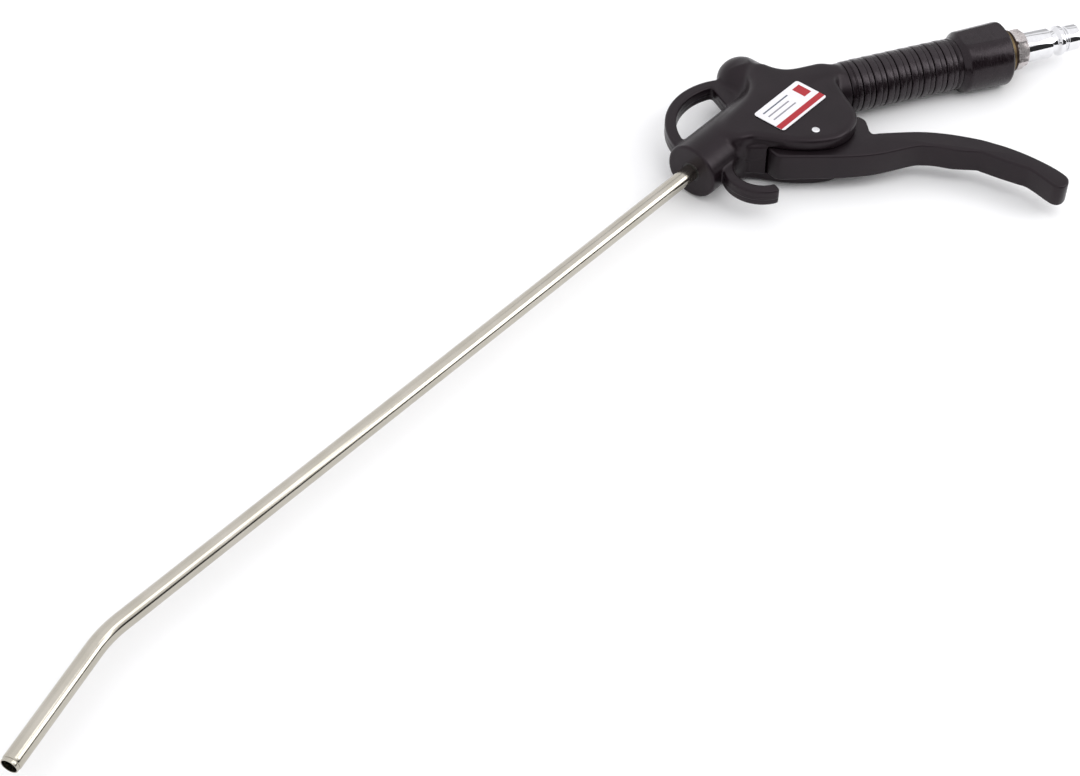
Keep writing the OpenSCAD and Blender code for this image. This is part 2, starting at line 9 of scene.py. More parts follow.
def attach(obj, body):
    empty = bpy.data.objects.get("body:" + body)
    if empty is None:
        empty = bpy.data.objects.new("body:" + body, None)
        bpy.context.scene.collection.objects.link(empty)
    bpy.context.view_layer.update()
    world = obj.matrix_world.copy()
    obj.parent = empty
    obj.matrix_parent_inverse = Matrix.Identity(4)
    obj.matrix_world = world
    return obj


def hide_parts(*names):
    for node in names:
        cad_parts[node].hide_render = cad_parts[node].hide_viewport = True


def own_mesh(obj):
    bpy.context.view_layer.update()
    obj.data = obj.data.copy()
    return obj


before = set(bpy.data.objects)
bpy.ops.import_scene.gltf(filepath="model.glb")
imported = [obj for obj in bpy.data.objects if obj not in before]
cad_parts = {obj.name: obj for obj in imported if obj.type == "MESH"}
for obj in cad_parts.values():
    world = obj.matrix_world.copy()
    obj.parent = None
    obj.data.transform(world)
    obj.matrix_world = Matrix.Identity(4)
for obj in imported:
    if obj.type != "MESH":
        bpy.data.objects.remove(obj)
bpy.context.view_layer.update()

# Sizes repeated from the part, in millimetres. X runs back along the barrel, Y up to the dome, and heights are
# measured from the middle plane, MID above the bench. Angles are from the X axis.
MID = 11.3
GRIP_ANGLE = math.radians(29.8)
PIN = np.array((-15.2, -27.3))
BARREL_R, BARREL_END, BARREL_BACK = 10.8, -54.2, 4
DOME_R, DOME_TOP, DOME_FOOT = 9.6, 28.4, -6
NECK_R, SLEEVE_START, SLEEVE_END = 9.85, 26.3, 94.5
GROOVES, FIRST_GROOVE, GROOVE_PITCH = 9, 30.95, 5.05
LOOP_CENTRE, LOOP_INSIDE_R, LOOP_OUTSIDE_R = (-24, 3), 22.2, 26.6
HOOK_CENTRE, HOOK_R, HOOK_HALF, HOOK_TIP_ANGLE = (-37.5, -19.7), 12.3, 2.1, 247
TUBE_R, BORE_R, TUBE_IN_SOCKET = 3.175, 2.375, 13.2
TUBE_RUN, TIP_RUN, BEND_R, BEND_ANGLE = 277, 45.5, 40.0, math.radians(17.3)
# The label's corners are rounded about four points, this far from its centre.
LABEL_CENTRE, LABEL_CORNER, LABEL_CORNER_R = (-10.6, -12.0), (12.2, 5.9), 1.2
# The cheek's outline seen from above, in parts of its lobe's radius, and the lever's in parts of its length and
# width, with its pin at nought.
LOBE_R = 18
LOBE = np.array((-0.444 * LOBE_R, -19))
CHEEK = LOBE + LOBE_R * np.array([
    (0.74, 1.52), (0.72, 1.69), (0.62, 1.83), (0.4, 1.91), (0.16, 1.83), (-0.14, 1.56), (-0.61, 1.31), (-1.17, 1.23),
    (-1.52, 1.16), (-1.71, 0.97), (-1.73, 0.72), (-1.61, 0.52), (-1.41, 0.38), (-1.24, 0.11), (-1.07, -0.2),
    (-0.86, -0.49), (-0.61, -0.75), (-0.33, -0.94), (0, -1.01), (0.33, -0.95), (0.56, -0.84), (0.73, -0.66),
    (0.87, -0.42), (1.17, 0.1), (1.37, 0.31), (1.49, 0.49), (1.53, 0.67), (1.45, 0.83), (1.22, 0.99), (0.97, 1.16),
    (0.8, 1.34)])
LEVER_SIZE = (80.5, 51.7)
LEVER = np.array([
    (-0.202, -0.071), (-0.164, -0.102), (-0.08, -0.143), (0.01, -0.188), (0.118, -0.236), (0.248, -0.273),
    (0.427, -0.276), (0.484, -0.299), (0.53, -0.333), (0.6, -0.405), (0.693, -0.47), (0.714, -0.501),
    (0.771, -0.604), (0.831, -0.704), (0.858, -0.748), (0.88, -0.826), (0.902, -0.926), (0.917, -0.975),
    (0.939, -0.999), (0.967, -0.992), (0.992, -0.957), (1, -0.898), (0.97, -0.779), (0.912, -0.631),
    (0.851, -0.509), (0.79, -0.413), (0.729, -0.332), (0.611, -0.214), (0.492, -0.131), (0.331, -0.065),
    (0.292, -0.055), (0.28, -0.042), (0.277, -0.007), (0.286, 0.056), (0.288, 0.11), (0.267, 0.159),
    (0.233, 0.167), (0.198, 0.149), (0.171, 0.129), (0.119, 0.126), (0.05, 0.134), (-0.062, 0.129),
    (-0.139, 0.087), (-0.188, 0.084), (-0.214, 0.06), (-0.221, 0.006)]) * LEVER_SIZE


# ---------------------------------------------------------------- camera

def make_camera():
    """The photograph's own viewpoint, found from the flat label, the straight tube and the grip."""
    turn, fall = math.radians(48.43), math.radians(47.0)
    # the gun's origin, seen from the point under the camera, and the camera's height over the middle plane
    aside, away, height = 91.90, 639.24, 524.5
    spot = Vector((-aside * math.cos(turn) - away * math.sin(turn),
                   aside * math.sin(turn) - away * math.cos(turn), height + MID)) / 1000
    right = Vector((math.cos(turn), -math.sin(turn), 0))
    ahead = Vector((math.cos(fall) * math.sin(turn), math.cos(fall) * math.cos(turn), -math.sin(fall)))
    up = right.cross(ahead)
    focal_length, photo_width = 2135, 1080  # in the photograph's pixels
    data = bpy.data.cameras.new("photo_camera")
    data.sensor_width = 36
    data.lens = focal_length / photo_width * data.sensor_width
    data.clip_start, data.clip_end = 0.01, 20
    cam = bpy.data.objects.new("photo_camera", data)
    cam.matrix_world = Matrix.Translation(spot) @ Matrix((right, up, -ahead)).transposed().to_4x4()
    bpy.context.scene.collection.objects.link(cam)
    bpy.context.scene.camera = cam


# ---------------------------------------------------------------- nodes and materials
# A noise pattern's Scale is 1000 divided by the size of its marks in millimetres.

def colour(code):
    """Linear colour of an sRGB hex code."""
    parts = [int(code[i:i + 2], 16) / 255 for i in (0, 2, 4)]
    return tuple(c / 12.92 if c <= 0.04045 else ((c + 0.055) / 1.055) ** 2.4 for c in parts) + (1,)


def add(tree, kind, inputs=None, **settings):
    """Adds a node with its settings; an input is a value or another node's output."""
    node = tree.nodes.new(kind)
    for key, value in settings.items():
        setattr(node, key, value)
    for key, value in (inputs or {}).items():
        if isinstance(value, bpy.types.NodeSocket):
            tree.links.new(value, node.inputs[key])
        else:
            node.inputs[key].default_value = value
    return node


def new_material(name, **values):
    """A material and its node tree; the values are the same all over and go on the shader's own sockets."""
    mat = bpy.data.materials.new(name)
    mat.use_nodes = True
    shader = mat.node_tree.nodes["Principled BSDF"]
    for key, value in values.items():
        shader.inputs[key.replace("_", " ")].default_value = value
    return mat, mat.node_tree, shader


def show(tree, shader, tone, gloss, relief):
    """Feeds the shader its colour, roughness and surface relief."""
    tree.links.new(tone, shader.inputs["Base Color"])
    tree.links.new(gloss, shader.inputs["Roughness"])
    tree.links.new(relief, shader.inputs["Normal"])


def satin_powder_coat(name, low, high, seam):
    """Black powder coat, sprayed and baked on a zinc die casting. To the eye: an even soft black with a broad
    dull sheen, a fine orange peel of half a millimetre, cloudy patches where it lies thinner, and on the narrow
    outer walls the raised seam that the two halves of the mould leave."""
    mat, tree, shader = new_material(name, IOR=1.5, Specular_IOR_Level=0.27, Specular_Tint=colour("FFF2FA"))
    place = add(tree, "ShaderNodeTexCoord").outputs["Object"]
    cloud = add(tree, "ShaderNodeTexNoise", {"Vector": place, "Scale": 1000 / 11, "Detail": 4}).outputs["Fac"]
    share = add(tree, "ShaderNodeMapRange", {"Value": cloud, "From Min": 0.3, "From Max": 0.7}).outputs["Result"]
    tone = add(tree, "ShaderNodeMix", {0: share, 6: colour(low), 7: colour(high)}, data_type="RGBA").outputs[2]
    patch = add(tree, "ShaderNodeTexNoise", {"Vector": place, "Scale": 1000 / 4, "Detail": 3}).outputs["Fac"]
    gloss = add(tree, "ShaderNodeMapRange", {"Value": patch, "From Min": 0.3, "From Max": 0.7, "To Min": 0.29,
                                             "To Max": 0.38}).outputs["Result"]
    peel = add(tree, "ShaderNodeTexNoise", {"Vector": place, "Scale": 1000 / 0.5, "Detail": 3,
                                            "Roughness": 0.6}).outputs["Fac"]
    relief = add(tree, "ShaderNodeBump", {"Height": peel, "Distance": 0.02 / 1000}).outputs["Normal"]
    if seam:
        # a ridge 1.2 mm wide and 0.25 mm high round the middle plane, on the loop, the hook and the web: in front
        # of x = -13 mm and more than 11.2 mm off the barrel's axis
        apart = add(tree, "ShaderNodeSeparateXYZ", {"Vector": place})
        off = add(tree, "ShaderNodeMath", {0: apart.outputs["Z"], 1: MID / 1000}, operation="SUBTRACT").outputs[0]
        off = add(tree, "ShaderNodeMath", {0: off}, operation="ABSOLUTE").outputs[0]
        ridge = add(tree, "ShaderNodeMapRange", {"Value": off, "From Min": 0.0007, "From Max": 0.0005},
                    interpolation_type="SMOOTHSTEP").outputs["Result"]
        out = add(tree, "ShaderNodeMapRange", {"Value": apart.outputs["X"], "From Min": -0.013, "From Max": -0.016},
                  interpolation_type="SMOOTHSTEP").outputs["Result"]
        side = add(tree, "ShaderNodeMath", {0: apart.outputs["Y"]}, operation="ABSOLUTE").outputs[0]
        past = add(tree, "ShaderNodeMapRange", {"Value": side, "From Min": 0.0112,
                                                "From Max": 0.0118}).outputs["Result"]
        ridge = add(tree, "ShaderNodeMath", {0: ridge, 1: out}, operation="MULTIPLY").outputs[0]
        ridge = add(tree, "ShaderNodeMath", {0: ridge, 1: past}, operation="MULTIPLY").outputs[0]
        relief = add(tree, "ShaderNodeBump", {"Height": ridge, "Distance": 0.25 / 1000,
                                              "Normal": relief}).outputs["Normal"]
    show(tree, shader, tone, gloss, relief)
    return mat


def moulded_rubber(name, dent, shine):
    """Black nitrile rubber, pressed in a steel mould. To the eye: blacker and shinier than the coat, with a skin
    that is smeary along the rings, so that a highlight breaks into short flecks, and a greyish bloom. The dent
    is the flecks' depth in millimetres."""
    mat, tree, shader = new_material(name, IOR=1.5, Specular_IOR_Level=shine, Specular_Tint=colour("FFF2FA"))
    place = add(tree, "ShaderNodeTexCoord").outputs["Object"]
    along = add(tree, "ShaderNodeMapping", {"Vector": place, "Rotation": (0, 0, GRIP_ANGLE)}).outputs["Vector"]
    # flecks 0.6 mm wide along the grip and three times as long round it
    streaks = add(tree, "ShaderNodeVectorMath", {0: along, 1: (1, 0.33, 0.33)}, operation="MULTIPLY").outputs[0]
    fleck = add(tree, "ShaderNodeTexNoise", {"Vector": streaks, "Scale": 1000 / 0.6, "Detail": 3,
                                             "Roughness": 0.6}).outputs["Fac"]
    bloom = add(tree, "ShaderNodeTexNoise", {"Vector": place, "Scale": 1000 / 6, "Detail": 4,
                                             "Distortion": 0.5}).outputs["Fac"]
    share = add(tree, "ShaderNodeMapRange", {"Value": bloom, "From Min": 0.35, "From Max": 0.7}).outputs["Result"]
    tone = add(tree, "ShaderNodeMix", {0: share, 6: colour("150F12"), 7: colour("1C1619")},
               data_type="RGBA").outputs[2]
    gloss = add(tree, "ShaderNodeMapRange", {"Value": fleck, "From Min": 0.3, "From Max": 0.7, "To Min": 0.12,
                                             "To Max": 0.34}).outputs["Result"]
    dents = add(tree, "ShaderNodeBump", {"Height": fleck, "Distance": dent / 1000}).outputs["Normal"]
    # slow waves of the thin wall over the tube inside it
    wave = add(tree, "ShaderNodeTexNoise", {"Vector": along, "Scale": 1000 / 3.5, "Detail": 2}).outputs["Fac"]
    relief = add(tree, "ShaderNodeBump", {"Height": wave, "Distance": 0.08 / 1000, "Normal": dents}).outputs["Normal"]
    show(tree, shader, tone, gloss, relief)
    return mat


def drawn_stainless():
    """Stainless steel tube, cold drawn and left as drawn. To the eye: a warm silver, a long sharp highlight
    and hairlines along the tube. The real hairlines are a few hundredths of a millimetre; here they are 0.3 mm."""
    mat, tree, shader = new_material("drawn_stainless_steel", Metallic=1.0)
    place = add(tree, "ShaderNodeTexCoord").outputs["Object"]
    stretched = add(tree, "ShaderNodeVectorMath", {0: place, 1: (0.02, 1, 1)}, operation="MULTIPLY").outputs[0]
    hair = add(tree, "ShaderNodeTexNoise", {"Vector": stretched, "Scale": 1000 / 0.3, "Detail": 4,
                                            "Roughness": 0.7}).outputs["Fac"]
    stain = add(tree, "ShaderNodeTexNoise", {"Vector": place, "Scale": 1000 / 14, "Detail": 3}).outputs["Fac"]
    share = add(tree, "ShaderNodeMapRange", {"Value": stain, "From Min": 0.3, "From Max": 0.7}).outputs["Result"]
    tone = add(tree, "ShaderNodeMix", {0: share, 6: colour("B3AEA2"), 7: colour("BFBAB0")},
               data_type="RGBA").outputs[2]
    gloss = add(tree, "ShaderNodeMapRange", {"Value": hair, "From Min": 0.3, "From Max": 0.7, "To Min": 0.12,
                                             "To Max": 0.2}).outputs["Result"]
    relief = add(tree, "ShaderNodeBump", {"Height": hair, "Distance": 0.004 / 1000}).outputs["Normal"]
    show(tree, shader, tone, gloss, relief)
    return mat


def turned_metal(name, low, high, rough, ring_depth):
    """Metal turned on a lathe: brass as turned, and steel polished or chromed after it. To the eye: fine rings
    round the grip's axis that draw the highlight out, and small changes of polish. The rings are drawn at
    0.25 mm, twice as coarse as a fine feed leaves them."""
    mat, tree, shader = new_material(name, Metallic=1.0)
    place = add(tree, "ShaderNodeTexCoord").outputs["Object"]
    along = add(tree, "ShaderNodeMapping", {"Vector": place, "Rotation": (0, 0, GRIP_ANGLE)}).outputs["Vector"]
    squeezed = add(tree, "ShaderNodeVectorMath", {0: along, 1: (1, 0.03, 0.03)}, operation="MULTIPLY").outputs[0]
    feed = add(tree, "ShaderNodeTexNoise", {"Vector": squeezed, "Scale": 1000 / 0.25, "Detail": 3}).outputs["Fac"]
    stain = add(tree, "ShaderNodeTexNoise", {"Vector": place, "Scale": 1000 / 3, "Detail": 4}).outputs["Fac"]
    share = add(tree, "ShaderNodeMapRange", {"Value": stain, "From Min": 0.3, "From Max": 0.7}).outputs["Result"]
    tone = add(tree, "ShaderNodeMix", {0: share, 6: colour(low), 7: colour(high)}, data_type="RGBA").outputs[2]
    gloss = add(tree, "ShaderNodeMapRange", {"Value": stain, "From Min": 0.3, "From Max": 0.7, "To Min": rough,
                                             "To Max": rough * 1.5}).outputs["Result"]
    relief = add(tree, "ShaderNodeBump", {"Height": feed, "Distance": ring_depth / 1000}).outputs["Normal"]
    show(tree, shader, tone, gloss, relief)
    return mat


def tumbled_nickel():
    """Nickel plate on a rolled hexagon bar that was tumbled, not polished. To the eye: a grainy satin silver
    with brownish specks of half a millimetre, duller than the chromed shank beside it."""
    mat, tree, shader = new_material("tumbled_nickel_hexagon", Metallic=1.0)
    place = add(tree, "ShaderNodeTexCoord").outputs["Object"]
    grain = add(tree, "ShaderNodeTexNoise", {"Vector": place, "Scale": 1000 / 0.5, "Detail": 4,
                                             "Roughness": 0.65}).outputs["Fac"]
    share = add(tree, "ShaderNodeMapRange", {"Value": grain, "From Min": 0.35, "From Max": 0.65}).outputs["Result"]
    tone = add(tree, "ShaderNodeMix", {0: share, 6: colour("B7ADAC"), 7: colour("DAD5D4")},
               data_type="RGBA").outputs[2]
    gloss = add(tree, "ShaderNodeMapRange", {"Value": grain, "From Min": 0.3, "From Max": 0.7, "To Min": 0.24,
                                             "To Max": 0.4}).outputs["Result"]
    relief = add(tree, "ShaderNodeBump", {"Height": grain, "Distance": 0.02 / 1000}).outputs["Normal"]
    show(tree, shader, tone, gloss, relief)
    return mat


def small_moulding(name, low, high, rough):
    """Small rings and inserts, injected or pressed from plastic or rubber. To the eye: matt, with a fine mottle
    of 0.8 mm and a skin that is a little uneven."""
    mat, tree, shader = new_material(name, IOR=1.5)
    place = add(tree, "ShaderNodeTexCoord").outputs["Object"]
    mottle = add(tree, "ShaderNodeTexNoise", {"Vector": place, "Scale": 1000 / 0.8, "Detail": 3}).outputs["Fac"]
    share = add(tree, "ShaderNodeMapRange", {"Value": mottle, "From Min": 0.3, "From Max": 0.7}).outputs["Result"]
    tone = add(tree, "ShaderNodeMix", {0: share, 6: colour(low), 7: colour(high)}, data_type="RGBA").outputs[2]
    gloss = add(tree, "ShaderNodeMapRange", {"Value": mottle, "From Min": 0.3, "From Max": 0.7,
                                             "To Min": rough - 0.05, "To Max": rough + 0.05}).outputs["Result"]
    relief = add(tree, "ShaderNodeBump", {"Height": mottle, "Distance": 0.01 / 1000}).outputs["Normal"]
    show(tree, shader, tone, gloss, relief)
    return mat


def printed_film():
    """White vinyl film, printed and stuck on. To the eye: a clean white with a soft gloss and a slight waviness,
    one red band along a long side, a red block by a corner, and thin grey rules. All are plain shapes."""
    mat, tree, shader = new_material("printed_vinyl_film", IOR=1.46, Specular_IOR_Level=0.4)
    place = add(tree, "ShaderNodeTexCoord").outputs["Object"]
    wave = add(tree, "ShaderNodeTexNoise", {"Vector": place, "Scale": 1000 / 3, "Detail": 3}).outputs["Fac"]
    tone = add(tree, "ShaderNodeMix", {0: wave, 6: colour("E4E2E5"), 7: colour("ECEBEE")},
               data_type="RGBA").outputs[2]
    # centre, half length and half width of each printed block in millimetres, and its ink
    for x, y, half_x, half_y, ink in (
            (-10.6, -16.8, 13.4, 1.3, "A8242E"), (-0.9, -10.0, 2.1, 3.0, "A8242E"), (-14.1, -7.6, 7.4, 0.32, "5C6270"),
            (-15.3, -10.1, 6.2, 0.32, "8C8A92"), (-14.8, -12.6, 6.7, 0.32, "8C8A92")):
        near = add(tree, "ShaderNodeVectorMath", {0: place, 1: (x / 1000, y / 1000, 0)}, operation="SUBTRACT")
        near = add(tree, "ShaderNodeVectorMath", {0: near.outputs[0]}, operation="ABSOLUTE")
        apart = add(tree, "ShaderNodeSeparateXYZ", {"Vector": near.outputs[0]})
        wide = add(tree, "ShaderNodeMath", {0: apart.outputs["X"], 1: half_x / 1000}, operation="LESS_THAN")
        high = add(tree, "ShaderNodeMath", {0: apart.outputs["Y"], 1: half_y / 1000}, operation="LESS_THAN")
        both = add(tree, "ShaderNodeMath", {0: wide.outputs[0], 1: high.outputs[0]}, operation="MULTIPLY").outputs[0]
        tone = add(tree, "ShaderNodeMix", {0: both, 6: tone, 7: colour(ink)}, data_type="RGBA").outputs[2]
    gloss = add(tree, "ShaderNodeMapRange", {"Value": wave, "From Min": 0.3, "From Max": 0.7, "To Min": 0.3,
                                             "To Max": 0.4}).outputs["Result"]
    relief = add(tree, "ShaderNodeBump", {"Height": wave, "Distance": 0.02 / 1000}).outputs["Normal"]
    show(tree, shader, tone, gloss, relief)
    return mat


# ---------------------------------------------------------------- shapes

def smooth_loop(points, steps):
    """Closed smooth curve through the points."""
    out = []
    count = len(points)
    for i in range(count):
        a, b, c, d = (points[(i + k) % count] for k in (-1, 0, 1, 2))
        for s in range(steps):
            t = s / steps
            out.append((2 * b + (c - a) * t + (2 * a - 5 * b + 4 * c - d) * t * t
                        + (3 * b - a - 3 * c + d) * t ** 3) / 2)
    return np.array(out)


def turned_xy(p, angle):
    """The places' first two coordinates in axes turned clockwise by the angle."""
    c, s = math.cos(angle), math.sin(angle)
    return p[..., 0] * c - p[..., 1] * s, p[..., 0] * s + p[..., 1] * c


def loop_distance(x, y, loop):
    """Signed distance in the plane to a closed loop, negative inside."""
    best = np.full(x.shape, np.inf)
    inside = np.zeros(x.shape, bool)
    for (ax, ay), (bx, by) in zip(loop, np.roll(loop, -1, 0)):
        ex, ey = bx - ax, by - ay
        wx, wy = x - ax, y - ay
        t = np.clip((wx * ex + wy * ey) / (ex * ex + ey * ey), 0, 1)
        best = np.minimum(best, (wx - ex * t) ** 2 + (wy - ey * t) ** 2)
        crossed = ((ay <= y) & (y < by)) | ((by <= y) & (y < ay))
        if ey != 0:
            inside ^= crossed & (x < ax + (y - ay) * ex / ey)
    return np.where(inside, -1, 1) * np.sqrt(best)


def slab(flat, h, half, r):
    """Distance to a plate of half a thickness, its edges rounded to r, from the distance in its own plane."""
    u, w = flat + r, np.abs(h) - half + r
    return np.minimum(np.maximum(u, w), 0) + np.hypot(np.maximum(u, 0), np.maximum(w, 0)) - r


def rod(along, across, start, end, radius, r):
    """Distance to a round rod between two places on its axis, its ends' edges rounded."""
    return slab(across - radius, along - (start + end) / 2, (end - start) / 2, r)


def join(a, b, k):
    """Distance to two shapes together, with a fillet about k wide where they meet."""
    h = np.maximum(k - np.abs(a - b), 0) / k
    return np.minimum(a, b) - h * h * k / 4


def cut(a, b, k):
    """Distance to the first shape without the second, its new edge rounded over about k."""
    h = np.maximum(k - np.abs(a + b), 0) / k
    return np.maximum(a, -b) + h * h * k / 4


def surface(distance, low, high, step):
    """Mesh of a distance field's zero surface: one point in each cell that it crosses, in the middle of its
    edges' crossings and then drawn onto the surface, and one face for each edge that it crosses."""
    axes = [np.arange(a, b + step, step) for a, b in zip(low, high)]
    grid = np.stack(np.meshgrid(*axes, indexing="ij"), -1)
    field = distance(grid)
    inside = field < 0
    nx, ny, nz = (n - 1 for n in field.shape)
    total = np.zeros((nx, ny, nz, 3))
    count = np.zeros((nx, ny, nz))
    corners = [(i, j, k) for i in (0, 1) for j in (0, 1) for k in (0, 1)]

    def part(values, c):
        return values[c[0]:c[0] + nx, c[1]:c[1] + ny, c[2]:c[2] + nz]

    for c in corners:
        for axis in range(3):
            if c[axis]:
                continue
            d = tuple(1 if i == axis else c[i] for i in range(3))
            fc, fd = part(field, c), part(field, d)
            crosses = part(inside, c) != part(inside, d)
            t = np.where(crosses, fc / np.where(crosses, fc - fd, 1), 0)
            for i in range(3):
                total[..., i] += crosses * (t if i == axis else c[i])
            count += crosses
    used = count > 0
    number = np.full(used.shape, -1)
    number[used] = np.arange(used.sum())
    cells = np.argwhere(used)
    points = np.array(low) + step * (cells + total[used] / count[used][:, None])
    faces = []
    for axis in range(3):
        u, v = (axis + 1) % 3, (axis + 2) % 3
        ahead = [slice(None)] * 3
        ahead[axis] = slice(1, None)
        behind = [slice(None)] * 3
        behind[axis] = slice(None, -1)
        edge = np.argwhere(inside[tuple(behind)] != inside[tuple(ahead)])
        edge = edge[(edge[:, u] > 0) & (edge[:, v] > 0)
                    & (edge[:, u] < used.shape[u]) & (edge[:, v] < used.shape[v])]
        quad = []
        for du, dv in ((1, 1), (0, 1), (0, 0), (1, 0)):
            cell = edge.copy()
            cell[:, u] -= du
            cell[:, v] -= dv
            quad.append(number[tuple(cell.T)])
        quad = np.stack(quad, 1)
        flip = ~inside[tuple(edge.T)]
        quad[flip] = quad[flip][:, ::-1]
        faces.append(quad)
    reach, least = 0.05, 0.25
    for _ in range(2):
        off = distance(points)
        slope = [distance(points + e) - distance(points - e) for e in reach * np.eye(3)]
        slope = np.stack(slope, -1) / (2 * reach)
        size = np.maximum((slope ** 2).sum(-1), least)
        points = points - np.clip(off / size, -step, step)[:, None] * slope
    return points, np.concatenate(faces)


def new_piece(name, points, faces, mat=None, crease=35):
    """A closed mesh from points in millimetres, with heights from the middle plane. Faces that meet at more
    than the crease's angle, in degrees, stay sharp."""
    mesh = bpy.data.meshes.new(name)
    mesh.from_pydata([(x / 1000, y / 1000, (z + MID) / 1000) for x, y, z in points], [],
                     [tuple(int(i) for i in face) for face in faces])
    work = bmesh.new()
    work.from_mesh(mesh)
    bmesh.ops.recalc_face_normals(work, faces=work.faces)
    work.to_mesh(mesh)
    work.free()
    if mat:
        mesh.materials.append(mat)
    mesh.shade_smooth()
    mesh.set_sharp_from_angle(angle=math.radians(crease))
    piece = bpy.data.objects.new(name, mesh)
    bpy.context.scene.collection.objects.link(piece)
    return piece


def stands_for(piece, node, body="gun"):
    """Hangs the piece on its body and hides the CAD node that it dresses."""
    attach(piece, body)
    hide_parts(node)


def rings_of(rows, sides, closed):
    """Faces between rows of points, the same number in each, the last row joined to the first if it's closed."""
    faces = []
    for j in range(rows if closed else rows - 1):
        n = (j + 1) % rows
        faces += [(j * sides + k, n * sides + k, n * sides + (k + 1) % sides, j * sides + (k + 1) % sides)
                  for k in range(sides)]
    return faces


def turned(name, profile, mat, sides=96, flat_top=math.inf, hexagon=math.inf):
    """A ring turned about the grip's axis from a closed profile of (place along the axis, radius). It may be
    cut flat above and below, at flat_top from the axis, or to a hexagon with two flats level."""
    c, s = math.cos(GRIP_ANGLE), math.sin(GRIP_ANGLE)
    points = []
    for g, radius in profile:
        for k in range(sides):
            a = 2 * math.pi * k / sides
            r = min(radius, hexagon / math.cos(a % (math.pi / 3) - math.pi / 6))
            side, h = r * math.cos(a), max(-flat_top, min(flat_top, r * math.sin(a)))
            points.append((g * c + side * s, -g * s + side * c, h))
    return new_piece(name, points, rings_of(len(profile), sides, True), mat)


def eased(points, r, steps=4):
    """A closed profile with each corner rounded, its curve starting r before the corner, or less where its sides
    are short."""
    out = []
    count = len(points)
    for i in range(count):
        a, b, c = (np.array(points[(i + k) % count], float) for k in (-1, 0, 1))
        p, q = (b + (v - b) / np.linalg.norm(v - b) * min(r, np.linalg.norm(v - b) * 0.45) for v in (a, c))
        out += [tuple((1 - t) ** 2 * p + 2 * t * (1 - t) * b + t * t * q) for t in np.linspace(0, 1, steps + 1)]
    return out


# ---------------------------------------------------------------- geometry nodes

def new_tree(name, **sizes):
    """An empty geometry tree with a named input for each size, and its input and output nodes."""
    tree = bpy.data.node_groups.new(name, "GeometryNodeTree")
    for way in ("INPUT", "OUTPUT"):
        tree.interface.new_socket("Geometry", in_out=way, socket_type="NodeSocketGeometry")
    for label, kind in sizes.items():
        tree.interface.new_socket(label.replace("_", " "), in_out="INPUT", socket_type="NodeSocket" + kind)
    return tree, add(tree, "NodeGroupInput").outputs, add(tree, "NodeGroupOutput").inputs["Geometry"]


def grow(piece, tree, **values):
    """Runs a tree on a piece and keeps the result as its plain mesh."""
    run = piece.modifiers.new(tree.name, "NODES")
    run.node_group = tree
    for item in tree.interface.items_tree:
        label = item.name.replace(" ", "_")
        if item.in_out == "INPUT" and label in values:
            run[item.identifier] = values[label]
    graph = bpy.context.evaluated_depsgraph_get()
    mesh = bpy.data.meshes.new_from_object(piece.evaluated_get(graph))
    piece.modifiers.remove(run)
    piece.data = mesh
    mesh.shade_smooth()
    mesh.set_sharp_from_angle(angle=math.radians(40))


